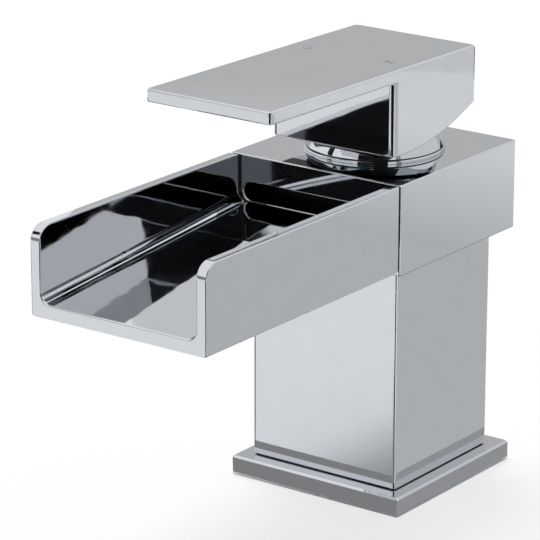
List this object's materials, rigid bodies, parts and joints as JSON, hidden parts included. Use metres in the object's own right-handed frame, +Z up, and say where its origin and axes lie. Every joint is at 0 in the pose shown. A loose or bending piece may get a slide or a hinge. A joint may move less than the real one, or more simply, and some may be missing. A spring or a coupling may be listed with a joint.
{
  "type": "waterfall basin faucet",
  "caption": "Compact single-lever basin tap: square plate and column, block head, open waterfall channel spout, flat lever on a ball-shaped shroud over a ceramic cartridge.",
  "frame": {"origin": "middle of the base plate's underside, on the axis of the cartridge", "axes": "+Z up along the cartridge axis, -Y along the spout to the user, +X to the right as seen by the user"},
  "size_m": [0.0502, 0.1263, 0.1099],
  "materials": {
    "polished_chrome": "mirror polished plating",
    "cast_brass": "machined casting",
    "stainless_steel": "turned",
    "black_rubber": "moulded seal",
    "white_acetal": "moulded",
    "grey_acetal": "moulded",
    "alumina_ceramic": "lapped"
  },
  "bodies": {
    "tap_body": {"base_plate": "polished_chrome", "deck_seal": "black_rubber", "column_gasket": "black_rubber", "column_shell": "polished_chrome", "head_block": "polished_chrome", "valve_body": "cast_brass", "body_oring": "black_rubber", "spout_channel": "polished_chrome", "spout_seal": "black_rubber", "spout_dowels": "stainless_steel", "cartridge_base": "white_acetal", "inlet_seals": "black_rubber", "cartridge_housing": "white_acetal", "housing_oring": "black_rubber", "fixed_disc": "alumina_ceramic", "slip_ring": "white_acetal", "retaining_nut": "cast_brass", "shroud_seat": "polished_chrome", "shroud_washer": "black_rubber", "shroud": "polished_chrome", "shroud_oring": "black_rubber"},
    "turning_guide": {"stem_guide": "grey_acetal", "stem_pin": "stainless_steel", "guide_oring": "black_rubber"},
    "lever": {"stem": "stainless_steel", "handle": "polished_chrome", "grub_screw": "stainless_steel", "grub_plug": "polished_chrome"},
    "disc_slider": {"moving_disc": "alumina_ceramic", "disc_carrier": "grey_acetal"}
  },
  "joints": [
    {"name": "temperature_turn", "type": "hinge", "parent": "tap_body", "child": "turning_guide", "pos_m": [0, 0, 0.0792], "axis": [0, 0, 1], "range_deg": [-45, 45]},
    {"name": "flow_lift", "type": "hinge", "parent": "turning_guide", "child": "lever", "pos_m": [0, 0, 0.0792], "axis": [-1, 0, 0], "range_deg": [0, 20]},
    {"name": "disc_shift", "type": "slide", "parent": "turning_guide", "child": "disc_slider", "axis": [0, -1, 0], "range_m": [0, 0.0034]}
  ],
  "couplings": [
    {"joint": "disc_shift", "follows": "flow_lift", "m_per_rad": 0.0097}
  ]
}
